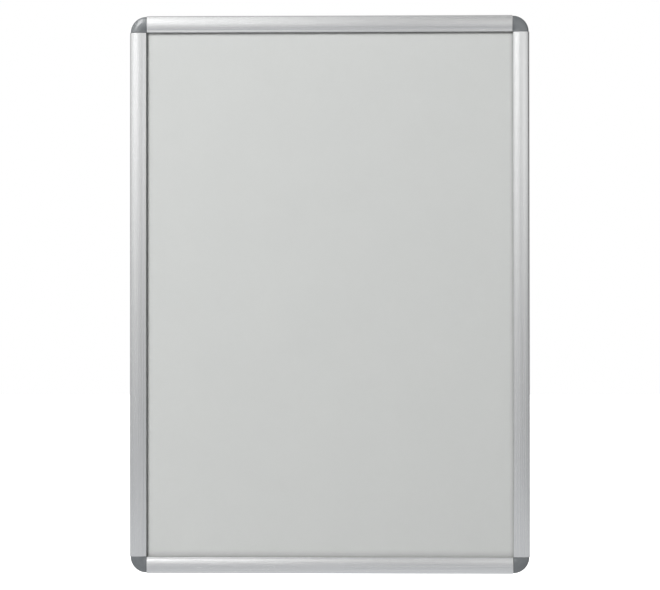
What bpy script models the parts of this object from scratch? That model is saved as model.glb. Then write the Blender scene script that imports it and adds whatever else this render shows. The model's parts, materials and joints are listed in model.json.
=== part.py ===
"""Front-loading snap frame for one A1 poster, upright, as it hangs on a wall.

Metres, +Z up. The wall is the plane y = 0 and the frame faces -Y. The origin is on the wall face of
the top base rail, at the middle of its width and length.

Each rail is drawn in its own section plane: x runs from the frame's outer edge inwards and y from
the wall forwards. Each corner piece is drawn from the corner of the visible opening: x and y run
outwards along the two rails' ends and z from the wall forwards.
"""

import math

import bmesh
import bpy
from mathutils import Matrix, Vector

# Paper and frame
paper_width = 0.594
paper_height = 0.841
paper_cover = 0.011         # how far each rail covers the paper
rail_width = 0.026          # outer edge to the lip
frame_depth = 0.0125        # wall to the crest of the rails

# Clearances
seat_gap = 0.0003           # between pieces that lie on each other
screw_gap = 0.0003          # round a screw, in its hole
hinge_gap = 0.00025         # round the bead, in its groove
end_gap = 0.0004            # between a rail's cut end and the corner cap
rib_gap = 0.0007            # between the groove's back and the spring rib
leaf_head_gap = 0.001       # over a leaf spring's bow
overrun = 0.002             # how far a cutter passes the surface that it opens
weld_distance = 0.00001     # between points that are one point

# Snap rail
skin = 0.0012
bead_radius = 0.0017
hinge_height = 0.0032       # bead's centre over the wall
shoulder_radius = 0.0025    # from the outer skirt to the dome
dome_radius = 0.042
crest_inset = 0.012         # outer edge to the highest line of the dome
land_width = 0.0018         # flat strip between the dome and the lip
lip_radius = 0.0014
rib_thickness = 0.0009
rib_height = 0.0034         # underside of the rib over the wall
foot_reach = 0.0009         # how far the rib's foot holds the spring
foot_thickness = 0.0006

# Base rail
floor_thickness = 0.0012
floor_start = 0.0009        # bead's centre to the outer edge of the floor
groove_wall = 0.00105
groove_lip_angle = 92       # end of the groove's upper lip, in degrees
key_slot_height = 0.0022
ledge_thickness = 0.001
slot_end_wall = 0.001
stop_wall = 0.0012          # wall that the panel's edge faces
stop_rise = 0.001           # top of the stop wall over the cover sheet
shelf_reach = 0.0009
shelf_height = 0.0052       # underside of the spring shelf over the wall
shelf_thickness = 0.0008
wall_hole_radius = 0.00225

# Panel and sheet
panel_margin = 0.0005       # the panel is this much larger than the paper, on each side
panel_edge_gap = 0.0004
panel_thickness = 0.001
sheet_thickness = 0.0005

# Leaf spring
leaf_thickness = 0.0005
leaf_width = 0.022

# Corner key
key_thickness = 0.0016
key_arm = 0.045             # how far an arm reaches into a rail
key_screw_inset = 0.014     # opening's corner to the screw in each arm

# Corner cap
cap_inset = 0.001           # behind the rails' outer edge
cap_drop = 0.0006           # below the rails' crest
cap_wall = 0.0016
cap_side_wall = 0.0015
cap_foot = 0.0005           # cap's rim over the wall
boss_reach = 0.0206         # opening's corner to the boss, along the diagonal
boss_radius = 0.003

# Screws
screw_radius = 0.0014
screw_head_radius = 0.0027
sunk_head_depth = 0.0001    # of a countersunk head, under the wall face
pan_head_height = 0.0009
key_screw_tip_gap = 0.0002  # from the tip to the key's front face
cross_root_width = 0.0007   # a recess's wing, at the middle of the head
cross_tip_width = 0.0005
cross_reach = 0.0011
cross_depth = 0.0007

# Places along the rails, as shares of the opening's length from its middle
wall_hole_shares = (-0.42, 0.42)
short_rail_spring_shares = (-0.27, 0.27)
long_rail_spring_shares = (-0.33, 0.0, 0.33)

# Numbers of facets
shoulder_steps = 5
dome_steps = 10
lip_steps = 4
bead_steps = 20
groove_steps = 14
bow_steps = 12
cap_steps = 48
hole_steps = 16
gusset_steps = 10
short_arc_steps = 2
smooth_angle = 30           # edges sharper than this stay sharp, in degrees

# Sizes that follow
opening_width = paper_width - 2 * paper_cover
opening_height = paper_height - 2 * paper_cover
outer_width = opening_width + 2 * rail_width
outer_height = opening_height + 2 * rail_width
hinge = (bead_radius, hinge_height)
groove_radius = bead_radius + hinge_gap
groove_outer_radius = groove_radius + groove_wall
floor_inset = hinge[0] + floor_start
rib_inset = hinge[0] + groove_outer_radius + rib_gap
slot_floor = floor_thickness
slot_roof = slot_floor + key_slot_height
ledge_top = slot_roof + ledge_thickness
panel_back = ledge_top + seat_gap
sheet_back = panel_back + panel_thickness + seat_gap
lip_height = sheet_back + sheet_thickness + seat_gap
stop_top = sheet_back + sheet_thickness + stop_rise
panel_edge_inset = rail_width - paper_cover - panel_margin
stop_inner = panel_edge_inset - panel_edge_gap
stop_outer = stop_inner - stop_wall
key_back = slot_floor + (key_slot_height - key_thickness) / 2
key_front = key_back + key_thickness
key_inner = slot_end_wall + seat_gap
key_outer = rail_width - stop_inner - seat_gap
slot_middle = (key_inner + key_outer) / 2
dome_centre_height = frame_depth - dome_radius
land_start = rail_width - lip_radius - land_width
land_angle = math.degrees(math.acos((land_start - crest_inset) / dome_radius))
land_height = dome_centre_height + dome_radius * math.sin(math.radians(land_angle))
cap_screw_tip = land_height - cap_drop - cap_wall
boss_place = boss_reach * math.sqrt(0.5)

SIDES = {
    "left": (0, outer_width, opening_height, long_rail_spring_shares),
    "top": (90, outer_height, opening_width, short_rail_spring_shares),
    "right": (180, outer_width, opening_height, long_rail_spring_shares),
    "bottom": (270, outer_height, opening_width, short_rail_spring_shares),
}
CORNERS = {
    "top_left": (-1, 1, 90),
    "top_right": (1, 1, 0),
    "bottom_right": (1, -1, 270),
    "bottom_left": (-1, -1, 180),
}


def clear_scene():
    for obj in list(bpy.data.objects):
        bpy.data.objects.remove(obj, do_unlink=True)


def new_collection(name):
    collection = bpy.data.collections.new(name)
    bpy.context.scene.collection.children.link(collection)
    return collection


def new_material(name, colour, roughness, metallic, alpha=1.0):
    material = bpy.data.materials.new(name)
    material.use_nodes = True
    shader = material.node_tree.nodes["Principled BSDF"]
    shader.inputs["Base Color"].default_value = (*colour, 1.0)
    shader.inputs["Roughness"].default_value = roughness
    shader.inputs["Metallic"].default_value = metallic
    shader.inputs["Alpha"].default_value = alpha
    return material


def arc(centre, radius, start, end, steps):
    """Points on a circle from one angle to another, in degrees."""
    points = []
    for step in range(steps + 1):
        angle = math.radians(start + (end - start) * step / steps)
        points.append((centre[0] + radius * math.cos(angle), centre[1] + radius * math.sin(angle)))
    return points


def circle(centre, radius):
    return arc(centre, radius, 0, 360, hole_steps)[:-1]


def welded(mesh):
    """The mesh with its loose caps joined to its sides and its faces pointing out."""
    shape = bmesh.new()
    shape.from_mesh(mesh)
    bmesh.ops.remove_doubles(shape, verts=shape.verts, dist=weld_distance)
    bmesh.ops.recalc_face_normals(shape, faces=shape.faces)
    shape.to_mesh(mesh)
    shape.free()
    return mesh


def evaluated_mesh(obj):
    """The object's shape with its modifiers or curve settings applied, as a mesh of its own."""
    graph = bpy.context.evaluated_depsgraph_get()
    graph.update()
    return welded(bpy.data.meshes.new_from_object(obj.evaluated_get(graph)))


def extruded_mesh(name, outlines, length):
    """A flat outline, with any holes as further outlines, extruded by length about z = 0."""
    curve = bpy.data.curves.new(name, "CURVE")
    curve.dimensions = "2D"
    curve.fill_mode = "BOTH"
    curve.extrude = length / 2
    for outline in outlines:
        spline = curve.splines.new("POLY")
        spline.points.add(len(outline) - 1)
        for point, spot in zip(spline.points, outline):
            point.co = (*spot, 0.0, 1.0)
        spline.use_cyclic_u = True
    guide = bpy.data.objects.new(name, curve)
    cutters.objects.link(guide)
    mesh = evaluated_mesh(guide)
    bpy.data.objects.remove(guide, do_unlink=True)
    return mesh


def turned_mesh(name, profile, steps):
    """A profile of (radius, height) points, from the top of the axis to its foot, turned about z."""
    line = bpy.data.meshes.new(name)
    points = [(radius, 0.0, height) for radius, height in profile]
    line.from_pydata(points, [(index, index + 1) for index in range(len(points) - 1)], [])
    guide = bpy.data.objects.new(name, line)
    cutters.objects.link(guide)
    turn = guide.modifiers.new("turn", "SCREW")
    turn.steps = steps
    turn.render_steps = steps
    turn.use_merge_vertices = True
    turn.merge_threshold = weld_distance
    mesh = evaluated_mesh(guide)
    bpy.data.objects.remove(guide, do_unlink=True)
    return mesh


def box_mesh(name, low, high):
    shape = bmesh.new()
    size = Vector(high) - Vector(low)
    middle = (Vector(high) + Vector(low)) / 2
    form = Matrix.Translation(middle) @ Matrix.Diagonal((*size, 1.0))
    bmesh.ops.create_cube(shape, size=1.0, matrix=form)
    mesh = bpy.data.meshes.new(name)
    shape.to_mesh(mesh)
    shape.free()
    return mesh


def gathered_mesh(name, mesh, matrices):
    """Separate copies of one mesh, each in its own place, in one mesh."""
    shape = bmesh.new()
    for matrix in matrices:
        piece = mesh.copy()
        piece.transform(matrix)
        shape.from_mesh(piece)
        bpy.data.meshes.remove(piece)
    gathered = bpy.data.meshes.new(name)
    shape.to_mesh(gathered)
    shape.free()
    return gathered


def place(name, mesh, collection, parent=None, location=(0.0, 0.0, 0.0)):
    obj = bpy.data.objects.new(name, mesh)
    collection.objects.link(obj)
    obj.parent = parent
    obj.location = location
    return obj


def new_cutter(name, mesh, parent=None):
    cutter = place(name, mesh, cutters, parent)
    cutter.hide_render = True
    cutter.display_type = "WIRE"
    return cutter


def combine(obj, cutter, operation="DIFFERENCE"):
    modifier = obj.modifiers.new(cutter.name, "BOOLEAN")
    modifier.operation = operation
    modifier.solver = "EXACT"
    modifier.object = cutter


def finish(obj, material):
    """Material, and smooth shading that stops at the edges."""
    obj.data.materials.clear()
    obj.data.materials.append(material)
    obj.data.shade_smooth()
    obj.data.set_sharp_from_angle(angle=math.radians(smooth_angle))


def face_arcs(edge, drop):
    """Centres of the shoulder and the dome, and the angle where they meet, for a face whose outer
    edge and crest lie that far inside the rail's."""
    dome = (crest_inset, dome_centre_height - drop)
    shoulder_x = edge + shoulder_radius
    rise = math.sqrt((dome_radius - shoulder_radius) ** 2 - (crest_inset - shoulder_x) ** 2)
    shoulder = (shoulder_x, dome[1] + rise)
    meeting = math.degrees(math.atan2(rise, shoulder_x - crest_inset))
    return shoulder, dome, meeting


def snap_rail_outline():
    """Section of the cover: bead, skirt, dome, land, lip, and the rib that holds the springs."""
    shoulder, dome, meeting = face_arcs(0.0, 0.0)
    inner_dome = dome_radius - skin
    rib_end = rib_inset + rib_thickness

    def dome_angle(inset):
        return math.degrees(math.acos((inset - crest_inset) / inner_dome))

    outline = [(0.0, hinge_height)]
    outline += arc(shoulder, shoulder_radius, 180, meeting, shoulder_steps)
    outline += arc(dome, dome_radius, meeting, land_angle, dome_steps)[1:]
    lip_centre = (rail_width - lip_radius, land_height - lip_radius)
    outline += arc(lip_centre, lip_radius, 90, 0, lip_steps)
    outline += [
        (rail_width, lip_height),
        (rail_width - skin, lip_height),
        (rail_width - skin, land_height - skin),
    ]
    outline += arc(dome, inner_dome, land_angle, dome_angle(rib_end), dome_steps)
    outline += [
        (rib_end, rib_height + foot_thickness),
        (rib_end + foot_reach, rib_height + foot_thickness),
        (rib_end + foot_reach, rib_height),
        (rib_inset, rib_height),
    ]
    outline += arc(dome, inner_dome, dome_angle(rib_inset), meeting, short_arc_steps)
    outline += arc(shoulder, shoulder_radius - skin, meeting, 180, shoulder_steps)[1:]
    bead_top = math.degrees(math.acos((skin - bead_radius) / bead_radius))
    outline += arc(hinge, bead_radius, bead_top, -180, bead_steps)[:-1]
    return [(x - hinge[0], y - hinge[1]) for x, y in outline]


def base_rail_outlines():
    """Section of the base: hinge groove, spring channel, stop wall with its shelf, and the ledge
    over the hollow slot for the corner keys."""
    floor_edge_angle = -math.degrees(math.acos(floor_start / groove_outer_radius))
    floor_top_angle = -math.degrees(math.asin((hinge_height - floor_thickness) / groove_outer_radius))
    outline = [(rail_width, 0.0), (floor_inset, 0.0)]
    outline += arc(hinge, groove_outer_radius, floor_edge_angle, -90, short_arc_steps)
    outline += arc(hinge, groove_radius, -90, groove_lip_angle, groove_steps)
    outline += arc(hinge, groove_outer_radius, groove_lip_angle, floor_top_angle, groove_steps)
    outline += [
        (stop_outer, floor_thickness),
        (stop_outer, shelf_height),
        (stop_outer - shelf_reach, shelf_height),
        (stop_outer - shelf_reach, shelf_height + shelf_thickness),
        (stop_outer, shelf_height + shelf_thickness),
        (stop_outer, stop_top),
        (stop_inner, stop_top),
        (stop_inner, ledge_top),
        (rail_width, ledge_top),
    ]
    slot = [
        (stop_inner, slot_floor),
        (rail_width - slot_end_wall, slot_floor),
        (rail_width - slot_end_wall, slot_roof),
        (stop_inner, slot_roof),
    ]
    return [outline, slot]


def leaf_outline():
    """Section of a leaf spring: a bow between the rib's foot and the base rail's shelf."""
    half = leaf_thickness / 2
    rib_side = rib_inset + rib_thickness + seat_gap + half
    stop_side = stop_outer - seat_gap - half
    bow = (stop_side - rib_side) / 2
    middle = (rib_side + stop_side) / 2
    rise = math.sqrt((dome_radius - skin) ** 2 - (middle - crest_inset) ** 2)
    centre = (middle, dome_centre_height + rise - leaf_head_gap - half - bow)
    toe = rib_height + foot_thickness + seat_gap
    heel = shelf_height + shelf_thickness + seat_gap
    outline = [(stop_side + half, heel)]
    outline += arc(centre, bow + half, 0, 180, bow_steps)
    outline += [(rib_side - half, toe), (rib_side + half, toe)]
    outline += arc(centre, bow - half, 180, 0, bow_steps)
    outline += [(stop_side - half, heel)]
    return outline


def key_outlines():
    """A corner key from the front: two arms, and a gusset that carries the cap's screw."""
    gusset_edge = cap_side_wall + seat_gap
    gusset_radius = rail_width - cap_inset - cap_wall - seat_gap
    start = math.degrees(math.asin(gusset_edge / gusset_radius))
    outline = [(-key_arm, key_inner), (key_inner, key_inner), (key_inner, -key_arm)]
    outline += [(key_outer, -key_arm), (key_outer, gusset_edge)]
    outline += arc((0.0, 0.0), gusset_radius, start, 90 - start, gusset_steps)
    outline += [(gusset_edge, key_outer), (-key_arm, key_outer)]
    hole = screw_radius + screw_gap
    return [
        outline,
        circle((-key_screw_inset, slot_middle), hole),
        circle((slot_middle, -key_screw_inset), hole),
        circle((boss_place, boss_place), hole),
    ]


def turned_face(offset):
    """Profile of the cap's face for turning, from its axis out over the land, dome and shoulder,
    that far under the surface. The rail's section is mirrored onto the cap's radius."""
    shoulder, dome, meeting = face_arcs(cap_inset, cap_drop)
    face = arc(dome, dome_radius - offset, land_angle, meeting, dome_steps)
    face += arc(shoulder, shoulder_radius - offset, meeting, 180, shoulder_steps)[1:]
    profile = [(0.0, land_height - cap_drop - offset)]
    profile += [(rail_width - x, y) for x, y in face]
    return profile


def cap_mesh():
    """A quarter of a turned dome, hollow from behind, open under its tip for the panel's corner, with
    a boss for its screw."""
    reach = rail_width + overrun
    solid = turned_face(0.0)
    solid += [(solid[-1][0], cap_foot), (0.0, cap_foot)]
    hollow = turned_face(cap_wall)
    hollow += [(hollow[-1][0], cap_foot - overrun), (0.0, cap_foot - overrun)]
    far = (reach, reach, reach)
    cap = place("cap", turned_mesh("cap", solid, cap_steps), cutters)
    quarter = new_cutter("cap_quarter", box_mesh("cap_quarter", (0, 0, 0), far))
    combine(cap, quarter, "INTERSECT")
    cavity = new_cutter("cap_cavity", turned_mesh("cap_cavity", hollow, cap_steps))
    inside = (cap_side_wall, cap_side_wall, -overrun)
    cavity_quarter = new_cutter("cavity_quarter", box_mesh("cavity_quarter", inside, far))
    combine(cavity, cavity_quarter, "INTERSECT")
    combine(cap, cavity)
    tip = rail_width - stop_inner
    pocket_box = box_mesh("cap_pocket", (-reach, -reach, -overrun), (tip, tip, lip_height))
    combine(cap, new_cutter("cap_pocket", pocket_box))
    boss_foot = key_front + seat_gap
    boss_top = land_height - cap_drop - cap_wall / 2
    boss_profile = [(0, boss_top), (boss_radius, boss_top), (boss_radius, boss_foot), (0, boss_foot)]
    boss = new_cutter("cap_boss", turned_mesh("cap_boss", boss_profile, hole_steps))
    bore_top = cap_screw_tip + seat_gap
    bore_radius = screw_radius + screw_gap
    bore_profile = [(0, bore_top), (bore_radius, bore_top), (bore_radius, 0), (0, 0)]
    bore = new_cutter("cap_bore", turned_mesh("cap_bore", bore_profile, hole_steps))
    for cutter in (boss, bore):
        cutter.location = (boss_place, boss_place, 0)
    combine(cap, boss, "UNION")
    combine(cap, bore)
    bpy.context.view_layer.update()
    mesh = evaluated_mesh(cap)
    bpy.data.objects.remove(cap, do_unlink=True)
    return mesh


def screw_recess(height):
    """A cross recess with tapered wings, from z = 0 forwards, for a head that faces the wall."""
    root = cross_root_width / 2
    tip = cross_tip_width / 2
    wing = [Vector((root, root)), Vector((tip, cross_reach)), Vector((-tip, cross_reach))]
    outline = []
    for quarter in range(4):
        turn = Matrix.Rotation(math.radians(90 * quarter), 2)
        outline += [tuple(turn @ point) for point in wing]
    return extruded_mesh("recess", [outline], 2 * height)


def recessed_screw_mesh(name, profile, head_back):
    """A turned screw with a cross recess in its head, which lies that far over the wall."""
    screw = place(name, turned_mesh(name, profile, hole_steps), cutters)
    recess = new_cutter(name + "_recess", screw_recess(head_back + cross_depth))
    combine(screw, recess)
    mesh = evaluated_mesh(screw)
    bpy.data.objects.remove(screw, do_unlink=True)
    return mesh


def key_screw_mesh():
    head_top = sunk_head_depth + screw_head_radius - screw_radius
    tip = key_front - key_screw_tip_gap
    profile = [(0, tip), (screw_radius, tip), (screw_radius, head_top)]
    profile += [(screw_head_radius, sunk_head_depth), (0, sunk_head_depth)]
    return recessed_screw_mesh("key_screw", profile, sunk_head_depth)


def cap_screw_mesh():
    head_top = key_back - seat_gap
    head_back = head_top - pan_head_height
    profile = [(0, cap_screw_tip), (screw_radius, cap_screw_tip), (screw_radius, head_top)]
    profile += [(screw_head_radius, head_top), (screw_head_radius, head_back), (0, head_back)]
    return recessed_screw_mesh("cap_screw", profile, head_back)


def floor_holes_mesh(opening):
    """Cutters for one base rail's floor: the wall holes, and a countersunk hole near each end."""
    upright = Matrix.Rotation(math.radians(-90), 4, "X")
    top = floor_thickness + overrun
    wall_profile = [(0, top), (wall_hole_radius, top), (wall_hole_radius, -overrun), (0, -overrun)]
    hole = screw_radius + screw_gap
    sink = screw_head_radius + screw_gap + sunk_head_depth
    screw_profile = [(0, top), (hole, top), (hole, sink - hole), (sink + overrun, -overrun), (0, -overrun)]
    channel_middle = (hinge[0] + groove_outer_radius + stop_outer) / 2
    screw_place = opening / 2 - key_screw_inset
    wall_spots = [(channel_middle, 0, share * opening) for share in wall_hole_shares]
    screw_spots = [(rail_width - slot_middle, 0, end * screw_place) for end in (-1, 1)]
    shape = bmesh.new()
    for profile, spots in ((wall_profile, wall_spots), (screw_profile, screw_spots)):
        cut = turned_mesh("hole", profile, hole_steps)
        places = [Matrix.Translation(spot) @ upright for spot in spots]
        shape.from_mesh(gathered_mesh("holes", cut, places))
    mesh = bpy.data.meshes.new("floor_holes")
    shape.to_mesh(mesh)
    shape.free()
    return mesh


def build_side(side, frame_centre, materials):
    turn, span, opening, spring_shares = SIDES[side]
    length = opening - 2 * end_gap
    edge = bpy.data.objects.new("side_" + side, None)
    parts.objects.link(edge)
    edge.parent = frame_centre
    inward = Matrix.Rotation(math.radians(turn), 4, "Y") @ Vector((1, 0, 0))
    edge.location = -inward * span / 2
    edge.rotation_euler = (math.radians(180), math.radians(turn), 0)

    base_mesh = extruded_mesh("base_rail_" + side, base_rail_outlines(), length)
    base = place("base_rail_" + side, base_mesh, parts, edge)
    combine(base, new_cutter("floor_holes_" + side, floor_holes_mesh(opening), edge))
    finish(base, materials["base"])

    rail_mesh = extruded_mesh("snap_rail_" + side, [snap_rail_outline()], length)
    rail = place("snap_rail_" + side, rail_mesh, parts, edge, (*hinge, 0))
    finish(rail, materials["rail"])

    leaf_mesh = extruded_mesh("leaf_spring", [leaf_outline()], leaf_width)
    for number, share in enumerate(spring_shares, 1):
        leaf = place(f"leaf_spring_{side}_{number}", leaf_mesh, parts, edge, (0, 0, share * opening))
        finish(leaf, materials["spring"])


def build_corner(corner, frame_centre, meshes, materials):
    sideways, upward, turn = CORNERS[corner]
    spot = bpy.data.objects.new("corner_" + corner, None)
    parts.objects.link(spot)
    spot.parent = frame_centre
    spot.location = (sideways * opening_width / 2, 0, upward * opening_height / 2)
    spot.rotation_euler = (math.radians(90), math.radians(-turn), 0)
    arm_screw_places = ((-key_screw_inset, slot_middle, 0), (slot_middle, -key_screw_inset, 0))
    pieces = [
        ("corner_cap_" + corner, "cap", "cap", (0, 0, 0)),
        ("corner_key_" + corner, "key", "key", (0, 0, (key_back + key_front) / 2)),
        ("cap_screw_" + corner, "cap_screw", "screw", (boss_place, boss_place, 0)),
    ]
    for number, spot_in_arm in enumerate(arm_screw_places, 1):
        pieces.append((f"key_screw_{corner}_{number}", "key_screw", "screw", spot_in_arm))
    for name, shape, finish_name, location in pieces:
        finish(place(name, meshes[shape], parts, spot, location), materials[finish_name])


def build_sheets(frame_centre, materials):
    """The back panel, and the clear sheet in front of the paper's place."""
    half_width = paper_width / 2 + panel_margin
    half_height = paper_height / 2 + panel_margin
    layers = (
        ("back_panel", panel_back, panel_thickness, materials["panel"]),
        ("cover_sheet", sheet_back, sheet_thickness, materials["sheet"]),
    )
    for name, back, thickness, material in layers:
        low = (-half_width, -back - thickness, -half_height)
        high = (half_width, -back, half_height)
        finish(place(name, box_mesh(name, low, high), parts, frame_centre), material)


clear_scene()
parts = new_collection("poster_frame")
cutters = new_collection("cutters")
materials = {
    "rail": new_material("satin_aluminium", (0.62, 0.63, 0.64), 0.32, 1.0),
    "base": new_material("mill_aluminium", (0.60, 0.60, 0.61), 0.42, 1.0),
    "cap": new_material("grey_plastic", (0.17, 0.18, 0.19), 0.45, 0.0),
    "key": new_material("zinc_plated_steel", (0.55, 0.56, 0.58), 0.38, 1.0),
    "spring": new_material("spring_steel", (0.45, 0.46, 0.48), 0.28, 1.0),
    "screw": new_material("plated_screw", (0.66, 0.66, 0.65), 0.30, 1.0),
    "panel": new_material("pale_board", (0.60, 0.61, 0.60), 0.60, 0.0),
    "sheet": new_material("matt_clear_sheet", (0.86, 0.87, 0.87), 0.35, 0.0, 0.30),
}
centre = bpy.data.objects.new("frame_centre", None)
parts.objects.link(centre)
centre.location = (0, 0, rail_width / 2 - outer_height / 2)
for side_name in SIDES:
    build_side(side_name, centre, materials)
corner_meshes = {
    "cap": cap_mesh(),
    "key": extruded_mesh("corner_key", key_outlines(), key_thickness),
    "cap_screw": cap_screw_mesh(),
    "key_screw": key_screw_mesh(),
}
for corner_name in CORNERS:
    build_corner(corner_name, centre, corner_meshes, materials)
build_sheets(centre, materials)
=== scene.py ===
"""Looks of the front-loading snap frame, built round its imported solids.

Metres, +Z up. The wall is the plane y = 0 and the frame faces -Y. Each rail's section has x from the
frame's outer edge inwards and y from the wall forwards. Each corner's plan starts at the corner of
the visible opening, with x and y outwards along the two rails' ends and z from the wall forwards.
"""

import json
import math
from collections import namedtuple

import bmesh
import bpy
from mathutils import Euler, Matrix, Vector

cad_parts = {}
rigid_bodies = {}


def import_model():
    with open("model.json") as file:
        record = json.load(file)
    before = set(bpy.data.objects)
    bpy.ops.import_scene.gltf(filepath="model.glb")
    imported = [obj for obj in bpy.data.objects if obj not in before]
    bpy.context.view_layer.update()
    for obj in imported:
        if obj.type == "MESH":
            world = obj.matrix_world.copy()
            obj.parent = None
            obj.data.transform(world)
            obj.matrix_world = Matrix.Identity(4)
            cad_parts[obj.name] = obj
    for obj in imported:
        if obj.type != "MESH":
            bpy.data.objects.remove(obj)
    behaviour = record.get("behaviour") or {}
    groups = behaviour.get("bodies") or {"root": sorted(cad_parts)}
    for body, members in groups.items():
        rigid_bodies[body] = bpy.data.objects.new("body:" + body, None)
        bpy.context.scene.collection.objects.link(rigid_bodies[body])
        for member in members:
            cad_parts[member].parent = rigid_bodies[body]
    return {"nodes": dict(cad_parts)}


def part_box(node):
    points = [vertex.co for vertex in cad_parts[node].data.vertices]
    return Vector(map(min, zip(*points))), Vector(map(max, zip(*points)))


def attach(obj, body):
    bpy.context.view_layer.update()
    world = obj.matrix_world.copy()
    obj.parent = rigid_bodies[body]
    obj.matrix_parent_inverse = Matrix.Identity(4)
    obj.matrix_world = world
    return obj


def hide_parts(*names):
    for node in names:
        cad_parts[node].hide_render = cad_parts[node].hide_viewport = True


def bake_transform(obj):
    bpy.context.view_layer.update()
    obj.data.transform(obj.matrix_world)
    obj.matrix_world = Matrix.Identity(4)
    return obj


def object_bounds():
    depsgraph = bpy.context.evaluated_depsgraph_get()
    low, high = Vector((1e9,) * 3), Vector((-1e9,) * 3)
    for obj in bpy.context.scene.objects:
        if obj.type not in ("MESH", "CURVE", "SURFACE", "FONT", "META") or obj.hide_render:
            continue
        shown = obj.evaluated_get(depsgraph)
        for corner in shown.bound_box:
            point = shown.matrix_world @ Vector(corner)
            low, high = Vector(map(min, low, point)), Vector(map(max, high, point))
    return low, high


# Rail section
rail_width = 0.026
skin = 0.0012
bead_radius = 0.0017
hinge = (0.0017, 0.0032)
shoulder_radius = 0.0025
dome_radius = 0.042
crest_inset = 0.012
land_width = 0.0018
lip_radius = 0.0014
lip_height = 0.0068
rib_inset = 0.0054
rib_thickness = 0.0009
rib_height = 0.0034
foot_reach = 0.0009
foot_thickness = 0.0006
cut_chamfer = 0.00012       # filed edge round each sawn end

# Leaf springs
leaf_thickness = 0.0005
leaf_gap = 0.0003
leaf_bow_radius = 0.00275
leaf_bow_height = 0.00723
leaf_heel_height = 0.0063
stop_inset = 0.0129

# Corner caps
cap_inset = 0.001
cap_drop = 0.0006
cap_wall = 0.0016
cap_side_wall = 0.0015
cap_foot = 0.0005
cap_edge_round = 0.0003
pocket_reach = 0.0119
boss_place = 0.014566
boss_radius = 0.003
boss_foot = 0.0034
bore_radius = 0.0017
bore_top = 0.00919
overrun = 0.002

# Facets
dome_steps = 28
shoulder_steps = 12
lip_steps = 10
rib_side_steps = 3
bead_steps = 36
bow_steps = 32
leg_steps = 6
cap_turn_steps = 36
cap_edge_steps = 3
boss_steps = 24
sharp_angle = 28            # degrees: a steeper edge isn't smoothed
eased_angle = 40            # degrees: a steeper edge of a cap's flat sides is rounded
miter_limit = 0.5           # keeps a chamfer's points near where the outline turns sharply

# Grain of the finishes: scales of a noise along an extrusion and round it, a metre
DIE_LINES = (2.0, 5200.0, 1.0)
DIE_BANDS = (0.8, 900.0, 1.0)
ANODIC_CLOUDS = (9.0, 60.0, 1.0)
ROLLING_LINES = (4000.0, 60.0, 1.0)
SAW_MARKS = (9000.0, 500.0, 1.0)        # across the section of a cut end, and up it
SHEET_WAVES = (1.0, 1.0, 0.6)           # stretched upwards
noise_low = 0.3             # nearly all of a noise lies between these two
noise_high = 0.7

# Relief of the finishes
die_line_depth = 0.00001
die_band_depth = 0.00003
saw_mark_depth = 0.00003
mill_grain_depth = 0.00002
mill_blotch_depth = 0.0001
plastic_grain_depth = 0.00003
plating_speck_depth = 0.00002
rolling_line_depth = 0.00002
board_grain_depth = 0.00003
sheet_grain_depth = 0.00002
sheet_wave_depth = 0.001

# Painted shade on the back panel: darkening along the rails' lips and in the corners, standing in for their
# shadow and the shade under them
painted_shade_reach = 0.007
painted_shade_under_rail = 0.0025       # how far the painted shade reaches under a rail
painted_shade_reach_bottom = 0.012          # the painted shade is wider along the lower edge
painted_shade_fall = 1.6            # how fast it thins out
painted_shade_share = 0.6           # how dark the painted shade is at one edge; two edges add up in a corner

# Camera: turns in degrees, lens and sensor in millimetres
camera_place = (0.0535, -2.8, -0.4456)
camera_yaw = 1.08
camera_pitch = 0.45
camera_roll = 0.03
camera_lens = 97.56
camera_sensor = 36.0

# Key light, and the soft light from all round by the direction's part along y
key_direction = (-0.76, -1.0, 0.80)
key_distance = 6.5
key_size = 2.4
key_power = 506.0
FILL_BY_DEPTH = [(-0.1, 0.07), (0.3, 1.25)]

# What metal and plastic mirror of the studio round the frame: levels by the direction's part
# along one axis
BASE_BY_HEIGHT = [(-0.15, 0.50), (0.0, 0.59), (0.10, 0.68), (0.5, 0.68), (0.74, 0.70), (0.94, 0.72)]
BASE_BY_SIDE = [(-0.95, 1.1), (-0.66, 1.0), (0.40, 1.0), (0.56, 0.55), (0.75, 0.24), (0.90, 0.15)]
BEHIND_BY_DEPTH = [(0.1, 0.0), (0.5, 1.0)]

# An upright strip lamp that shows in gloss only, by the direction's parts along x and z
LAMP_ACROSS = [(-0.32, 0.0), (-0.26, 1.0), (-0.22, 1.0), (-0.175, 0.0)]
LAMP_UP = [(0.18, 0.0), (0.27, 1.0), (0.42, 1.0), (0.56, 0.0)]
lamp_level = 7.5

# Two soft windows in front of the frame, which show in gloss only: levels by metres across and up
windows_distance = 4.5
windows_half = 6.0
LEFT_WINDOW_ACROSS = [
    (-4.4, 0.0), (-3.1, 0.92), (-2.2, 1.2), (-1.3, 1.12), (-0.8, 0.92), (-0.45, 0.98), (-0.1, 0.56),
    (0.3, 0.0),
]
LEFT_WINDOW_UP = [
    (-1.6, 0.0), (-1.0, 0.07), (-0.5, 0.26), (-0.14, 0.46), (0.19, 0.66), (0.5, 0.80), (1.0, 0.71),
    (2.2, 0.58), (4.2, 0.46), (5.6, 0.0),
]
RIGHT_WINDOW_ACROSS = [(0.25, 0.0), (0.7, 0.65), (1.2, 0.95), (1.9, 1.05), (2.5, 0.8), (3.5, 0.0)]
RIGHT_WINDOW_UP = [(-0.9, 0.0), (-0.4, 0.3), (0.2, 0.75), (0.6, 0.8), (1.2, 0.45), (2.0, 0.12), (2.6, 0.0)]

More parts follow.
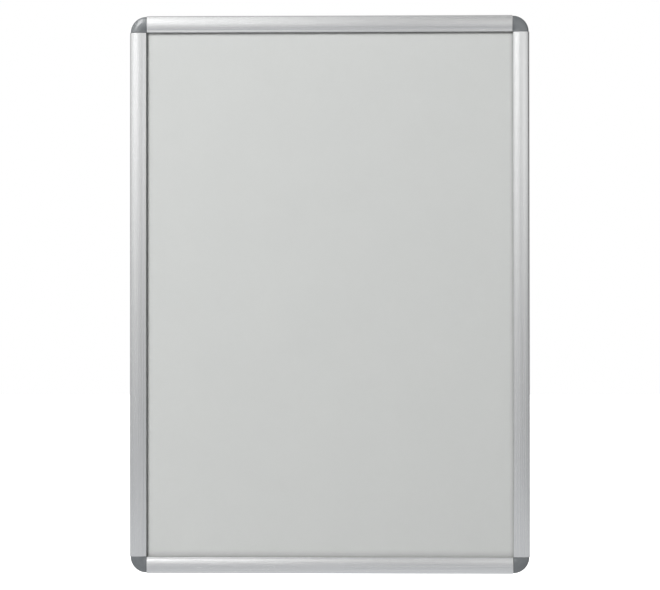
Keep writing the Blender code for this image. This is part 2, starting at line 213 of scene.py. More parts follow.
# Floor
floor_drop = 0.30
floor_half = 12.0
floor_cells = 8
floor_colour = (0.70, 0.70, 0.70)
floor_bounce = (0.30, 0.30, 0.30)       # its colour as the frame is lit by it
floor_lift = 0.58           # glow that the eye sees under the frame, over the floor's own light
floor_lift_near = 0.6       # where the glow starts to grow, and where it is full
floor_lift_far = 3.0
floor_mirrored_tint = (0.965, 0.978, 1.0)
floor_mirrored_reach = 5.0
FLOOR_MIRRORED = [(0.3, 0.97), (1.4, 0.68), (2.3, 1.10), (2.9, 1.15), (3.5, 0.61)]

for old in list(bpy.data.objects):
    bpy.data.objects.remove(old, do_unlink=True)

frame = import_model()
cad_low, cad_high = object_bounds()
nodes = frame["nodes"]
frame_depth = cad_high.y - cad_low.y
dome_centre_height = frame_depth - dome_radius
land_start = rail_width - lip_radius - land_width
land_angle = math.degrees(math.acos((land_start - crest_inset) / dome_radius))
land_height = dome_centre_height + dome_radius * math.sin(math.radians(land_angle))
outer_width = cad_high.x - cad_low.x
outer_height = cad_high.z - cad_low.z
middle = Vector((0.0, 0.0, (cad_low.z + cad_high.z) / 2))

# Turn of each side about the frame's middle, its outer span, and its springs
SIDES = {
    "left": (0, outer_width, 3),
    "top": (90, outer_height, 2),
    "right": (180, outer_width, 3),
    "bottom": (270, outer_height, 2),
}
# Each corner's way along x and z from the middle, and the turn of its plan
CORNERS = {
    "top_left": (-1, 1, 90),
    "top_right": (1, 1, 0),
    "bottom_right": (1, -1, 270),
    "bottom_left": (-1, -1, 180),
}
Relief = namedtuple("Relief", "height strength depth")


def side_matrix(side):
    """From a rail's section, with z along the rail, to its place in the frame."""
    turn, span, _ = SIDES[side]
    inward = Matrix.Rotation(math.radians(turn), 4, "Y") @ Vector((1, 0, 0))
    turned = Euler((math.radians(180), math.radians(turn), 0)).to_matrix().to_4x4()
    return Matrix.Translation(middle - inward * span / 2) @ turned


def corner_matrix(corner):
    """From a corner's plan to its place in the frame."""
    sideways, upward, turn = CORNERS[corner]
    spot = Vector((sideways * (outer_width / 2 - rail_width), 0.0, upward * (outer_height / 2 - rail_width)))
    turned = Euler((math.radians(90), math.radians(-turn), 0)).to_matrix().to_4x4()
    return Matrix.Translation(middle + spot) @ turned


def span_along(node, matrix):
    """Where a node starts and ends along its rail."""
    along = [(matrix.inverted() @ corner).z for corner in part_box(node)]
    return min(along), max(along)


def arc(centre, radius, start, end, steps):
    """Points on a circle from one angle to another, in degrees."""
    points = []
    for step in range(steps + 1):
        angle = math.radians(start + (end - start) * step / steps)
        points.append((centre[0] + radius * math.cos(angle), centre[1] + radius * math.sin(angle)))
    return points


def face_arcs(edge, drop):
    """Centres of the shoulder and the dome, and the angle where they meet."""
    dome = (crest_inset, dome_centre_height - drop)
    shoulder_x = edge + shoulder_radius
    rise = math.sqrt((dome_radius - shoulder_radius) ** 2 - (crest_inset - shoulder_x) ** 2)
    meeting = math.degrees(math.atan2(rise, shoulder_x - crest_inset))
    return (shoulder_x, dome[1] + rise), dome, meeting


def snap_rail_outline():
    """Section of the cover: skirt, dome, land and lip outside, then the rib with its foot, and the
    bead that turns in the base rail's groove."""
    shoulder, dome, meeting = face_arcs(0.0, 0.0)
    inner_dome = dome_radius - skin
    rib_end = rib_inset + rib_thickness

    def dome_angle(inset):
        return math.degrees(math.acos((inset - crest_inset) / inner_dome))

    outline = [(0.0, hinge[1])]
    outline += arc(shoulder, shoulder_radius, 180, meeting, shoulder_steps)
    outline += arc(dome, dome_radius, meeting, land_angle, dome_steps)[1:]
    outline += arc((rail_width - lip_radius, land_height - lip_radius), lip_radius, 90, 0, lip_steps)
    outline += [
        (rail_width, lip_height),
        (rail_width - skin, lip_height),
        (rail_width - skin, land_height - skin),
    ]
    outline += arc(dome, inner_dome, land_angle, dome_angle(rib_end), dome_steps)
    outline += [
        (rib_end, rib_height + foot_thickness),
        (rib_end + foot_reach, rib_height + foot_thickness),
        (rib_end + foot_reach, rib_height),
        (rib_inset, rib_height),
    ]
    outline += arc(dome, inner_dome, dome_angle(rib_inset), meeting, rib_side_steps)
    outline += arc(shoulder, shoulder_radius - skin, meeting, 180, shoulder_steps)[1:]
    bead_top = math.degrees(math.acos((skin - bead_radius) / bead_radius))
    outline += arc(hinge, bead_radius, bead_top, -180, bead_steps)[:-1]
    return outline


def leaf_outline():
    """Section of a leaf spring: a leg that hooks on the rib's foot, a bow, and a heel at the stop."""
    half = leaf_thickness / 2
    rib_side = rib_inset + rib_thickness + leaf_gap + half
    stop_side = stop_inset - leaf_gap - half
    centre = ((rib_side + stop_side) / 2, leaf_bow_height)
    toe = rib_height + foot_thickness + leaf_gap
    legs = [toe + (leaf_bow_height - toe) * step / leg_steps for step in range(leg_steps)]
    outline = [(stop_side + half, leaf_heel_height)]
    outline += arc(centre, leaf_bow_radius + half, 0, 180, bow_steps)
    outline += [(rib_side - half, height) for height in reversed(legs)]
    outline += [(rib_side + half, height) for height in legs]
    outline += arc(centre, leaf_bow_radius - half, 180, 0, bow_steps)
    outline += [(stop_side - half, leaf_heel_height)]
    return outline


def shrunk(outline, inset):
    """The outline moved inwards by a small distance, for the chamfer at a cut end."""
    count = len(outline)
    area = sum(
        outline[i][0] * outline[(i + 1) % count][1] - outline[(i + 1) % count][0] * outline[i][1]
        for i in range(count)
    )
    hand = 1 if area > 0 else -1
    moved = []
    for index, point in enumerate(outline):
        before = Vector(point) - Vector(outline[index - 1])
        after = Vector(outline[(index + 1) % count]) - Vector(point)
        before.normalize()
        after.normalize()
        normal = Vector((-before.y - after.y, before.x + after.x)) * hand
        normal.normalize()
        reach = inset / max(miter_limit, normal.dot(Vector((-after.y, after.x)) * hand))
        moved.append(tuple(Vector(point) + normal * reach))
    return moved


def mesh_from(shape, name):
    mesh = bpy.data.meshes.new(name)
    shape.to_mesh(mesh)
    shape.free()
    return mesh


def linked(name, data):
    thing = bpy.data.objects.new(name, data)
    bpy.context.scene.collection.objects.link(thing)
    return thing


def smooth(mesh):
    mesh.shade_smooth()
    mesh.set_sharp_from_angle(angle=math.radians(sharp_angle))


def extruded_piece(name, outline, span, matrix, material, end_material):
    """An outline extruded along z with filed ends, and with UVs in metres: along it, and round it."""
    low, high = span
    small = shrunk(outline, cut_chamfer)
    rings = [(low, small), (low + cut_chamfer, outline), (high - cut_chamfer, outline), (high, small)]
    lengths = [0.0]
    for index in range(len(outline)):
        step = Vector(outline[(index + 1) % len(outline)]) - Vector(outline[index])
        lengths.append(lengths[-1] + step.length)
    shape = bmesh.new()
    uv = shape.loops.layers.uv.new("lengthwise")
    rows = [[shape.verts.new((x, y, z)) for x, y in ring] for z, ring in rings]
    for row_index in range(len(rows) - 1):
        for index in range(len(outline)):
            following = (index + 1) % len(outline)
            corners = (
                (rows[row_index][index], rings[row_index][0], lengths[index]),
                (rows[row_index][following], rings[row_index][0], lengths[index + 1]),
                (rows[row_index + 1][following], rings[row_index + 1][0], lengths[index + 1]),
                (rows[row_index + 1][index], rings[row_index + 1][0], lengths[index]),
            )
            face = shape.faces.new([corner[0] for corner in corners])
            for loop, corner in zip(face.loops, corners):
                loop[uv].uv = (corner[1], corner[2])
    for row in (rows[0], rows[-1]):
        face = shape.faces.new(row)
        face.material_index = 1
        for loop in face.loops:
            loop[uv].uv = (loop.vert.co.x, loop.vert.co.y)
    bmesh.ops.recalc_face_normals(shape, faces=shape.faces)
    mesh = mesh_from(shape, name)
    mesh.transform(matrix)
    mesh.materials.append(material)
    mesh.materials.append(end_material)
    smooth(mesh)
    return linked(name, mesh)


def turned_quarter(profile):
    """A closed quarter solid: a profile of (radius, height) points from the axis outwards and down,
    turned a quarter round, with flat sides and a flat foot."""
    shape = bmesh.new()
    foot = profile[-1][1]
    tip = shape.verts.new((0.0, 0.0, profile[0][1]))
    root = shape.verts.new((0.0, 0.0, foot))
    rays = []
    for step in range(cap_turn_steps + 1):
        angle = math.radians(90 * step / cap_turn_steps)
        ray = [shape.verts.new((r * math.cos(angle), r * math.sin(angle), z)) for r, z in profile[1:]]
        rays.append(ray)
    for ray, following in zip(rays, rays[1:]):
        shape.faces.new((tip, ray[0], following[0]))
        for index in range(len(ray) - 1):
            shape.faces.new((ray[index], ray[index + 1], following[index + 1], following[index]))
    shape.faces.new([tip, *rays[0], root])
    shape.faces.new([root, *reversed(rays[-1]), tip])
    shape.faces.new([root, *[ray[-1] for ray in rays]])
    bmesh.ops.recalc_face_normals(shape, faces=shape.faces)
    return shape


def turned_face(offset):
    """Profile of a cap's outer face, or of its hollow when it is offset by the wall."""
    shoulder, dome, meeting = face_arcs(cap_inset, cap_drop)
    face = arc(dome, dome_radius - offset, land_angle, meeting, dome_steps)
    face += arc(shoulder, shoulder_radius - offset, meeting, 180, shoulder_steps)[1:]
    profile = [(0.0, land_height - cap_drop - offset)]
    return profile + [(rail_width - x, y) for x, y in face]


def boxed(low, high):
    shape = bmesh.new()
    size = Vector(high) - Vector(low)
    centre = (Vector(high) + Vector(low)) / 2
    bmesh.ops.create_cube(shape, size=1.0, matrix=Matrix.Translation(centre) @ Matrix.Diagonal((*size, 1.0)))
    return shape


def column(radius, low, high):
    """A round column at the screw boss."""
    shape = bmesh.new()
    lift = Matrix.Translation((boss_place, boss_place, (low + high) / 2))
    bmesh.ops.create_cone(
        shape,
        cap_ends=True,
        segments=boss_steps,
        radius1=radius,
        radius2=radius,
        depth=high - low,
        matrix=lift,
    )
    return shape


def ease_flat_sides(shape):
    """Rounds the edges of a quarter solid's two flat sides."""
    flat = cap_edge_round / 10
    edges = []
    for edge in shape.edges:
        a, b = (vert.co for vert in edge.verts)
        on_side = (abs(a.y) < flat and abs(b.y) < flat) or (abs(a.x) < flat and abs(b.x) < flat)
        if on_side and edge.calc_face_angle(0.0) > math.radians(eased_angle):
            edges.append(edge)
    bmesh.ops.bevel(
        shape,
        geom=edges,
        offset=cap_edge_round,
        segments=cap_edge_steps,
        profile=0.5,
        affect="EDGES",
        clamp_overlap=True,
    )


def cap_mesh():
    """The corner cap: a turned quarter dome with eased edges, hollow behind, with a screw boss."""
    profile = turned_face(0.0)
    rim = profile[-1][0]
    shape = turned_quarter([*profile, (rim, cap_foot)])
    ease_flat_sides(shape)
    cap = linked("cap_blank", mesh_from(shape, "cap_blank"))
    hollow = turned_face(cap_wall)
    hollow.append((hollow[-1][0], cap_foot - overrun))
    reach = rail_width
    inside = (cap_side_wall, cap_side_wall, -overrun)
    pocket_low = (-reach, -reach, -overrun)
    pocket_high = (pocket_reach, pocket_reach, lip_height)
    tools = [
        ("hollow", turned_quarter(hollow), "DIFFERENCE"),
        ("pocket", boxed(pocket_low, pocket_high), "DIFFERENCE"),
        ("boss", column(boss_radius, boss_foot, land_height - cap_drop - cap_wall / 2), "UNION"),
        ("bore", column(bore_radius, 0.0, bore_top), "DIFFERENCE"),
    ]
    cutters = []
    for name, tool, operation in tools:
        cutter = linked(name, mesh_from(tool, name))
        cutters.append(cutter)
        if name == "hollow":
            keep = linked("inside", mesh_from(boxed(inside, (reach, reach, reach)), "inside"))
            cutters.append(keep)
            limit = cutter.modifiers.new("inside", "BOOLEAN")
            limit.operation = "INTERSECT"
            limit.object = keep
        cut = cap.modifiers.new(name, "BOOLEAN")
        cut.operation = operation
        cut.object = cutter
    bpy.context.view_layer.update()
    graph = bpy.context.evaluated_depsgraph_get()
    mesh = bpy.data.meshes.new_from_object(cap.evaluated_get(graph))
    for helper in (cap, *cutters):
        bpy.data.objects.remove(helper, do_unlink=True)
    mesh.materials.clear()
    return mesh


def new_material(name, colour, roughness, metallic=0.0):
    material = bpy.data.materials.new(name)
    material.use_nodes = True
    tree = material.node_tree
    shader = tree.nodes["Principled BSDF"]
    shader.inputs["Base Color"].default_value = (*colour, 1.0)
    shader.inputs["Roughness"].default_value = roughness
    shader.inputs["Metallic"].default_value = metallic
    return material, tree, shader


def coordinates(tree, kind, scale=(1.0, 1.0, 1.0)):
    source = tree.nodes.new("ShaderNodeTexCoord")
    mapping = tree.nodes.new("ShaderNodeMapping")
    mapping.inputs["Scale"].default_value = scale
    tree.links.new(source.outputs[kind], mapping.inputs["Vector"])
    return mapping.outputs["Vector"]


def parts_of(tree, vector):
    """The x, y and z of a vector."""
    parts = tree.nodes.new("ShaderNodeSeparateXYZ")
    tree.links.new(vector, parts.inputs["Vector"])
    return [parts.outputs[axis] for axis in "XYZ"]


def noise(tree, vector, scale=1.0, detail=3.0, roughness=0.55):
    texture = tree.nodes.new("ShaderNodeTexNoise")
    texture.inputs["Scale"].default_value = scale
    texture.inputs["Detail"].default_value = detail
    texture.inputs["Roughness"].default_value = roughness
    tree.links.new(vector, texture.inputs["Vector"])
    return texture.outputs["Fac"]


def spread(tree, value, low, high, from_low=noise_low, from_high=noise_high):
    """A value taken from one range to another, and kept within it. The first is a noise's by itself."""
    ranged = tree.nodes.new("ShaderNodeMapRange")
    ranged.inputs["From Min"].default_value = from_low
    ranged.inputs["From Max"].default_value = from_high
    ranged.inputs["To Min"].default_value = low
    ranged.inputs["To Max"].default_value = high
    tree.links.new(value, ranged.inputs["Value"])
    return ranged.outputs["Result"]


def stops(tree, value, places, low=-1.0, high=1.0):
    """A level that follows a value through (place, level) stops, with the places from low to high."""
    ramp = tree.nodes.new("ShaderNodeValToRGB")
    ramp.color_ramp.interpolation = "EASE"
    while len(ramp.color_ramp.elements) < len(places):
        ramp.color_ramp.elements.new(0.5)
    for element, (place, level) in zip(ramp.color_ramp.elements, places):
        element.position = (place - low) / (high - low)
        element.color = (level, level, level, 1.0)
    tree.links.new(spread(tree, value, 0.0, 1.0, low, high), ramp.inputs["Fac"])
    return ramp.outputs["Color"]


def blended(tree, factor, first, second):
    """Two colours, each a tuple or a socket, mixed by a factor."""
    mix = tree.nodes.new("ShaderNodeMix")
    mix.data_type = "RGBA"
    tree.links.new(factor, mix.inputs["Factor"])
    for name, value in (("A", first), ("B", second)):
        socket = next(s for s in mix.inputs if s.name == name and s.type == "RGBA")
        if isinstance(value, tuple):
            socket.default_value = (*value, 1.0)
        else:
            tree.links.new(value, socket)
    return next(s for s in mix.outputs if s.type == "RGBA")


def combined(tree, operation, first, second):
    """A sum, product or other result of two values, each a number or a socket."""
    node = tree.nodes.new("ShaderNodeMath")
    node.operation = operation
    for socket, value in zip(node.inputs, (first, second)):
        if isinstance(value, float):
            socket.default_value = value
        else:
            tree.links.new(value, socket)
    return node.outputs["Value"]


def swapped(tree, switch, first, second):
    """The first value where the switch is 0, and the second, a number or a socket, where it is 1."""
    mix = tree.nodes.new("ShaderNodeMix")
    mix.data_type = "FLOAT"
    tree.links.new(switch, mix.inputs["Factor"])
    tree.links.new(first, mix.inputs["A"])
    if isinstance(second, float):
        mix.inputs["B"].default_value = second
    else:
        tree.links.new(second, mix.inputs["B"])
    return mix.outputs["Result"]


def joined(tree, kind, first, second, factor=None):
    """Two shaders added, or mixed by a factor."""
    node = tree.nodes.new(kind)
    sockets = [socket for socket in node.inputs if socket.type == "SHADER"]
    tree.links.new(first, sockets[0])
    tree.links.new(second, sockets[1])
    if factor is not None:
        tree.links.new(factor, node.inputs["Fac"])
    return node.outputs["Shader"]


def glowing(tree, strength):
    glow = tree.nodes.new("ShaderNodeEmission")
    tree.links.new(strength, glow.inputs["Strength"])
    return glow


def bumped(tree, shader, *reliefs):
    """Bump nodes in a row, one for each relief, whose depth is in metres."""
    normal = None
    for relief in reliefs:
        bump = tree.nodes.new("ShaderNodeBump")
        bump.inputs["Strength"].default_value = relief.strength
        bump.inputs["Distance"].default_value = relief.depth
        tree.links.new(relief.height, bump.inputs["Height"])
        if normal is not None:
            tree.links.new(normal, bump.inputs["Normal"])
        normal = bump.outputs["Normal"]
    tree.links.new(normal, shader.inputs["Normal"])


def satin_aluminium():
    """Anodised extrusion: fine die lines along the rail, with a lobe that is wide across them."""
    plain = (0.60, 0.605, 0.608)
    dark = (0.578, 0.582, 0.584)
    light = (0.626, 0.630, 0.631)
    clouded = (0.60, 0.603, 0.605)
    material, tree, shader = new_material("visual_satin_aluminium", plain, roughness=0.30, metallic=1.0)
    fine = noise(tree, coordinates(tree, "UV", DIE_LINES), detail=2.0)
    broad = noise(tree, coordinates(tree, "UV", DIE_BANDS), detail=3.0)
    cloud = noise(tree, coordinates(tree, "UV", ANODIC_CLOUDS), detail=4.0)
    streaks = blended(tree, spread(tree, broad, 0.0, 1.0), dark, light)
    colour = blended(tree, spread(tree, cloud, 0.0, 0.35), streaks, clouded)
    tree.links.new(colour, shader.inputs["Base Color"])
    tree.links.new(spread(tree, fine, 0.22, 0.29), shader.inputs["Roughness"])
    shader.inputs["Anisotropic"].default_value = 0.5
    shader.inputs["Anisotropic Rotation"].default_value = 0.25
    tangent = tree.nodes.new("ShaderNodeTangent")
    tangent.direction_type = "UV_MAP"
    tangent.uv_map = "lengthwise"
    tree.links.new(tangent.outputs["Tangent"], shader.inputs["Tangent"])
    lines = Relief(fine, strength=0.25, depth=die_line_depth)
    bands = Relief(broad, strength=0.2, depth=die_band_depth)
    bumped(tree, shader, lines, bands)
    return material


def sawn_aluminium():
    """The cut ends: bright, with fine saw marks across them."""
    plain = (0.82, 0.83, 0.84)
    dark = (0.74, 0.75, 0.76)
    light = (0.88, 0.89, 0.90)
    material, tree, shader = new_material("visual_sawn_aluminium", plain, roughness=0.25, metallic=1.0)
    marks = noise(tree, coordinates(tree, "UV", SAW_MARKS), detail=3.0)
    colour = blended(tree, spread(tree, marks, 0.0, 1.0), dark, light)
    tree.links.new(colour, shader.inputs["Base Color"])
    tree.links.new(spread(tree, marks, 0.2, 0.38), shader.inputs["Roughness"])
    bumped(tree, shader, Relief(marks, strength=0.4, depth=saw_mark_depth))
    return material


def mill_aluminium():
    """Unfinished extrusion of the base rails: a little duller, with blotches and a fine grain."""
    plain = (0.60, 0.60, 0.61)
    dark = (0.52, 0.52, 0.53)
    light = (0.66, 0.66, 0.67)
    material, tree, shader = new_material("visual_mill_aluminium", plain, roughness=0.40, metallic=1.0)
    vector = coordinates(tree, "Object")
    blotch = noise(tree, vector, scale=45.0, detail=5.0, roughness=0.6)
    grain = noise(tree, vector, scale=1800.0, detail=2.0)
    colour = blended(tree, spread(tree, blotch, 0.0, 1.0), dark, light)
    tree.links.new(colour, shader.inputs["Base Color"])
    tree.links.new(spread(tree, blotch, 0.36, 0.50), shader.inputs["Roughness"])
    fine = Relief(grain, strength=0.2, depth=mill_grain_depth)
    broad = Relief(blotch, strength=0.15, depth=mill_blotch_depth)
    bumped(tree, shader, fine, broad)
    return material


def grey_plastic():
    """Moulded cap: mid grey with a fine spark-eroded grain and faint flow clouds."""
    plain = (0.088, 0.098, 0.105)
    dark = (0.080, 0.090, 0.098)
    light = (0.095, 0.105, 0.112)
    material, tree, shader = new_material("visual_grey_plastic", plain, roughness=0.30)
    shader.inputs["Specular IOR Level"].default_value = 1.0
    shader.inputs["Coat Weight"].default_value = 1.0
    shader.inputs["Coat Roughness"].default_value = 0.12
    vector = coordinates(tree, "Object")
    grain = noise(tree, vector, scale=3200.0, detail=2.0)
    cloud = noise(tree, vector, scale=70.0, detail=4.0)
    colour = blended(tree, spread(tree, cloud, 0.0, 1.0), dark, light)
    tree.links.new(colour, shader.inputs["Base Color"])
    tree.links.new(spread(tree, grain, 0.21, 0.29), shader.inputs["Roughness"])
    bumped(tree, shader, Relief(grain, strength=0.3, depth=plastic_grain_depth))
    return material


def plated(name, dark, light, smoothest, roughest, flake_scale):
    """Bright zinc plating, with crystal flakes of slightly different grey."""
    material, tree, shader = new_material(name, light, smoothest, metallic=1.0)
    vector = coordinates(tree, "Object")
    flakes = tree.nodes.new("ShaderNodeTexVoronoi")
    flakes.inputs["Scale"].default_value = flake_scale
    tree.links.new(vector, flakes.inputs["Vector"])
    tone = tree.nodes.new("ShaderNodeSeparateColor")
    tree.links.new(flakes.outputs["Color"], tone.inputs["Color"])
    speck = noise(tree, vector, scale=2500.0, detail=2.0)
    tree.links.new(blended(tree, tone.outputs["Red"], dark, light), shader.inputs["Base Color"])
    roughness = spread(tree, tone.outputs["Green"], smoothest, roughest, 0.0, 1.0)
    tree.links.new(roughness, shader.inputs["Roughness"])
    bumped(tree, shader, Relief(speck, strength=0.2, depth=plating_speck_depth))
    return material


def spring_steel():
    """Rolled strip: dark steel with a blue-straw temper tint and rolling lines."""
    plain = (0.45, 0.46, 0.48)
    blue = (0.38, 0.41, 0.47)
    straw = (0.52, 0.50, 0.46)
    material, tree, shader = new_material("visual_spring_steel", plain, roughness=0.28, metallic=1.0)
    lines = noise(tree, coordinates(tree, "UV", ROLLING_LINES), detail=3.0)
    tint = noise(tree, coordinates(tree, "Object"), scale=120.0, detail=2.0)
    colour = blended(tree, spread(tree, tint, 0.0, 1.0), blue, straw)
    tree.links.new(colour, shader.inputs["Base Color"])
    tree.links.new(spread(tree, lines, 0.22, 0.36), shader.inputs["Roughness"])
    bumped(tree, shader, Relief(lines, strength=0.25, depth=rolling_line_depth))
    return material


def painted_edge_shade(tree, vector):
    """How much painted shade darkens the back panel, standing in for the rails' shadow and the shade under
    their lips: most at the lips, more where two of them meet, none further in, and none where the rails hide
    it."""
    across, _, up = parts_of(tree, vector)
    edges = [
        (up, cad_low.z + rail_width, painted_shade_reach_bottom),
        (up, cad_high.z - rail_width, -painted_shade_reach),
        (across, cad_low.x + rail_width, painted_shade_reach),
        (across, cad_high.x - rail_width, -painted_shade_reach),
    ]
    shaded = None
    # painted shade near each lip, added up where two lips meet
    for place, edge, reach in edges:
        hidden_edge = edge - math.copysign(painted_shade_under_rail, reach)
        near = spread(tree, place, 1.0, 0.0, edge, edge + reach)
        near = combined(tree, "MULTIPLY", near, spread(tree, place, 1.0, 0.0, edge, hidden_edge))
        near = combined(tree, "POWER", near, painted_shade_fall)
        shaded = near if shaded is None else combined(tree, "ADD", shaded, near)
    return combined(tree, "MULTIPLY", shaded, painted_shade_share)


def pale_board():
    """Back panel: pale grey polystyrene with a soft mottle, a fine calendered grain, and painted
    shade in the corner under the rails' lips, where their shadow falls."""
    plain = (0.60, 0.61, 0.60)
    dark = (0.600, 0.611, 0.602)
    light = (0.612, 0.622, 0.612)
    # painted shade: the dark colour that stands in for the rails' shadow near their lips
    painted_shade_colour = (0.229, 0.231, 0.220)
    material, tree, shader = new_material("visual_pale_board", plain, roughness=0.60)
    vector = coordinates(tree, "Object")
    mottle = noise(tree, vector, scale=14.0, detail=4.0)
    grain = noise(tree, vector, scale=1400.0, detail=2.0)
    colour = blended(tree, spread(tree, mottle, 0.0, 1.0), dark, light)
    colour = blended(tree, painted_edge_shade(tree, vector), colour, painted_shade_colour)
    tree.links.new(colour, shader.inputs["Base Color"])
    tree.links.new(spread(tree, grain, 0.55, 0.66), shader.inputs["Roughness"])
    bumped(tree, shader, Relief(grain, strength=0.15, depth=board_grain_depth))
    return material


def matt_clear_sheet():
    """Anti-glare cover: clear, with a fine matt face and the slight waves of a thin sheet."""
    haze = (0.80, 0.81, 0.80)
    material, tree, shader = new_material("visual_matt_clear_sheet", haze, roughness=0.34)
    waves = noise(tree, coordinates(tree, "Object", SHEET_WAVES), scale=5.0, detail=2.0)
    grain = noise(tree, coordinates(tree, "Object"), scale=2600.0, detail=2.0)
    tree.links.new(spread(tree, grain, 0.30, 0.40), shader.inputs["Roughness"])
    shader.inputs["Alpha"].default_value = 0.14
    fine = Relief(grain, strength=0.1, depth=sheet_grain_depth)
    broad = Relief(waves, strength=0.05, depth=sheet_wave_depth)
    bumped(tree, shader, fine, broad)
    return material


rail_finish = satin_aluminium()
sawn_finish = sawn_aluminium()
spring_finish = spring_steel()
cap_finish = grey_plastic()
key_finish = plated(
    "visual_zinc_plate",
    dark=(0.50, 0.51, 0.54),
    light=(0.66, 0.67, 0.69),
    smoothest=0.28,
    roughest=0.46,
    flake_scale=420.0,
)
screw_finish = plated(
    "visual_plated_screw",
    dark=(0.56, 0.56, 0.54),
    light=(0.72, 0.72, 0.70),
    smoothest=0.22,
    roughest=0.36,
    flake_scale=1500.0,
)

# Snap rails and their springs
for side, (_, _, springs) in SIDES.items():
    matrix = side_matrix(side)
    span = span_along("snap_rail_" + side, matrix)
    rail = extruded_piece("visual_rail_" + side, snap_rail_outline(), span, matrix, rail_finish, sawn_finish)
    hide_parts("snap_rail_" + side)
    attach(rail, side + "_rail")
    for number in range(1, springs + 1):
        node = f"leaf_spring_{side}_{number}"
        name = f"visual_leaf_{side}_{number}"
        span = span_along(node, matrix)
        leaf = extruded_piece(name, leaf_outline(), span, matrix, spring_finish, spring_finish)
        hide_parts(node)
        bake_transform(leaf)

# Corner caps
blank = cap_mesh()
for corner in CORNERS:
    mesh = blank.copy()
    mesh.name = "visual_cap_" + corner
    mesh.transform(corner_matrix(corner))
    mesh.materials.append(cap_finish)
    smooth(mesh)
    cap = linked("visual_cap_" + corner, mesh)
    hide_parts("corner_cap_" + corner)
    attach(cap, "frame")
bpy.data.meshes.remove(blank)

# Finishes of the solids that show as they are
FINISHES = {
    "base_rail_": mill_aluminium(),
    "corner_key_": key_finish,
    "cap_screw_": screw_finish,
    "key_screw_": screw_finish,
    "back_panel": pale_board(),
    "cover_sheet": matt_clear_sheet(),
}
for name, node in nodes.items():
    for start, finish in FINISHES.items():
        if name.startswith(start):
            node.data.materials.clear()
            node.data.materials.append(finish)


def pale_floor():
    """Floor material: white to the eye further out, with the frame's shadow kept. Metal and plastic
    mirror it by distance, and from below it is clear."""
    material, tree, shader = new_material("pale_floor", floor_colour, roughness=0.9)
    path = tree.nodes.new("ShaderNodeLightPath")
    colour = blended(tree, path.outputs["Is Camera Ray"], floor_bounce, floor_colour)
    tree.links.new(colour, shader.inputs["Base Color"])
    spot = tree.nodes.new("ShaderNodeTexCoord")
    distance = tree.nodes.new("ShaderNodeVectorMath")
    distance.operation = "LENGTH"
    tree.links.new(spot.outputs["Object"], distance.inputs[0])
    lift = spread(tree, distance.outputs["Value"], floor_lift, 1.0, floor_lift_near, floor_lift_far)
    glow = glowing(tree, combined(tree, "MULTIPLY", lift, path.outputs["Is Camera Ray"]))
    lit = joined(tree, "ShaderNodeAddShader", shader.outputs["BSDF"], glow.outputs["Emission"])
    level = stops(tree, distance.outputs["Value"], FLOOR_MIRRORED, 0.0, floor_mirrored_reach)
    mirrored = glowing(tree, level)
    mirrored.inputs["Color"].default_value = (*floor_mirrored_tint, 1.0)
    gloss = path.outputs["Is Glossy Ray"]
    above = joined(tree, "ShaderNodeMixShader", lit, mirrored.outputs["Emission"], gloss)
    face = tree.nodes.new("ShaderNodeNewGeometry")
    clear = tree.nodes.new("ShaderNodeBsdfTransparent")
    whole = joined(tree, "ShaderNodeMixShader", above, clear.outputs["BSDF"], face.outputs["Backfacing"])
    tree.links.new(whole, tree.nodes["Material Output"].inputs["Surface"])
    return material


def window_light():
    """Material of the windows: clear, with a glow that follows both windows' stops."""
    material = bpy.data.materials.new("studio_windows")
    material.use_nodes = True
    tree = material.node_tree
    tree.nodes.remove(tree.nodes["Principled BSDF"])
    spot = tree.nodes.new("ShaderNodeTexCoord")
    across, _, up = parts_of(tree, spot.outputs["Object"])
    levels = []
    for across_stops, up_stops in (
        (LEFT_WINDOW_ACROSS, LEFT_WINDOW_UP),
        (RIGHT_WINDOW_ACROSS, RIGHT_WINDOW_UP),
    ):
        by_side = stops(tree, across, across_stops, -windows_half, windows_half)
        by_height = stops(tree, up, up_stops, -windows_half, windows_half)
        levels.append(combined(tree, "MULTIPLY", by_side, by_height))
    glow = glowing(tree, combined(tree, "ADD", *levels))
    clear = tree.nodes.new("ShaderNodeBsdfTransparent")
    both = joined(tree, "ShaderNodeAddShader", clear.outputs["BSDF"], glow.outputs["Emission"])
    tree.links.new(both, tree.nodes["Material Output"].inputs["Surface"])
    return material


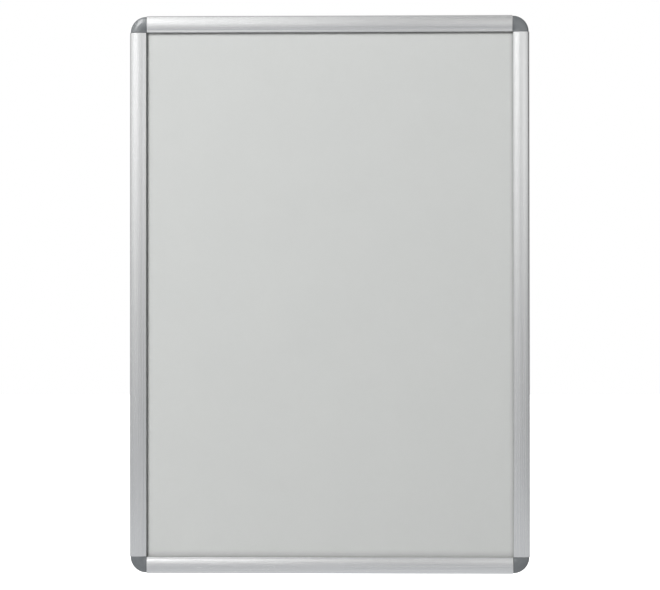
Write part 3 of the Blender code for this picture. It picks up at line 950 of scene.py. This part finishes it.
def studio_world():
    """White to the eye, and to reflections from behind. Gloss mirrors the studio in front, and other
    rays get the soft fill."""
    world = bpy.data.worlds.new("studio")
    world.use_nodes = True
    tree = world.node_tree
    background = tree.nodes["Background"]
    background.inputs["Color"].default_value = (1.0, 1.0, 1.0, 1.0)
    direction = tree.nodes.new("ShaderNodeTexCoord")
    across, forward, up = parts_of(tree, direction.outputs["Generated"])
    path = tree.nodes.new("ShaderNodeLightPath")
    base = combined(tree, "MULTIPLY", stops(tree, up, BASE_BY_HEIGHT), stops(tree, across, BASE_BY_SIDE))
    lamp = combined(tree, "MULTIPLY", stops(tree, across, LAMP_ACROSS), stops(tree, up, LAMP_UP))
    lamp = combined(tree, "MULTIPLY", lamp, lamp_level)
    front = combined(tree, "ADD", base, lamp)
    mirrored = swapped(tree, stops(tree, forward, BEHIND_BY_DEPTH), front, 1.0)
    shiny = combined(tree, "MAXIMUM", path.outputs["Is Glossy Ray"], path.outputs["Is Transmission Ray"])
    level = swapped(tree, shiny, stops(tree, forward, FILL_BY_DEPTH), mirrored)
    level = swapped(tree, path.outputs["Is Camera Ray"], level, 1.0)
    tree.links.new(level, background.inputs["Strength"])
    return world


# Floor
floor_shape = bmesh.new()
bmesh.ops.create_grid(floor_shape, x_segments=floor_cells, y_segments=floor_cells, size=floor_half)
floor = linked("floor", mesh_from(floor_shape, "floor"))
floor.location = (0.0, 0.0, cad_low.z - floor_drop)
floor.data.materials.append(pale_floor())

# Windows
windows_shape = bmesh.new()
upright = Matrix.Rotation(math.radians(90), 4, "X")
bmesh.ops.create_grid(windows_shape, x_segments=1, y_segments=1, size=windows_half, matrix=upright)
windows = linked("studio_windows", mesh_from(windows_shape, "studio_windows"))
windows.location = (0.0, -windows_distance, 0.0)
for kind in ("camera", "diffuse", "transmission", "volume_scatter", "shadow"):
    setattr(windows, "visible_" + kind, False)
windows.data.materials.append(window_light())

# World
bpy.context.scene.world = studio_world()

# Key light: a square softbox that looks at the frame's middle and doesn't show in gloss
key_data = bpy.data.lights.new("key_light", "AREA")
key_data.shape = "SQUARE"
key_data.size = key_size
key_data.energy = key_power
key = linked("key_light", key_data)
towards = Vector(key_direction).normalized()
key.location = middle + towards * key_distance
key.rotation_mode = "QUATERNION"
key.rotation_quaternion = (-towards).to_track_quat("-Z", "Y")
key.visible_glossy = False

# Camera
camera_data = bpy.data.cameras.new("camera")
camera_data.lens = camera_lens
camera_data.sensor_width = camera_sensor
camera = linked("camera", camera_data)
camera.location = camera_place
turned = Matrix.Rotation(math.radians(camera_yaw), 3, "Z")
turned = turned @ Matrix.Rotation(math.radians(camera_pitch), 3, "X")
turned = turned @ Matrix.Rotation(math.radians(camera_roll), 3, "Y")
level_view = Matrix.Rotation(math.radians(90), 3, "X")
camera.rotation_euler = (turned @ level_view).to_euler()
bpy.context.scene.camera = camera
bpy.context.scene.view_settings.view_transform = "Standard"
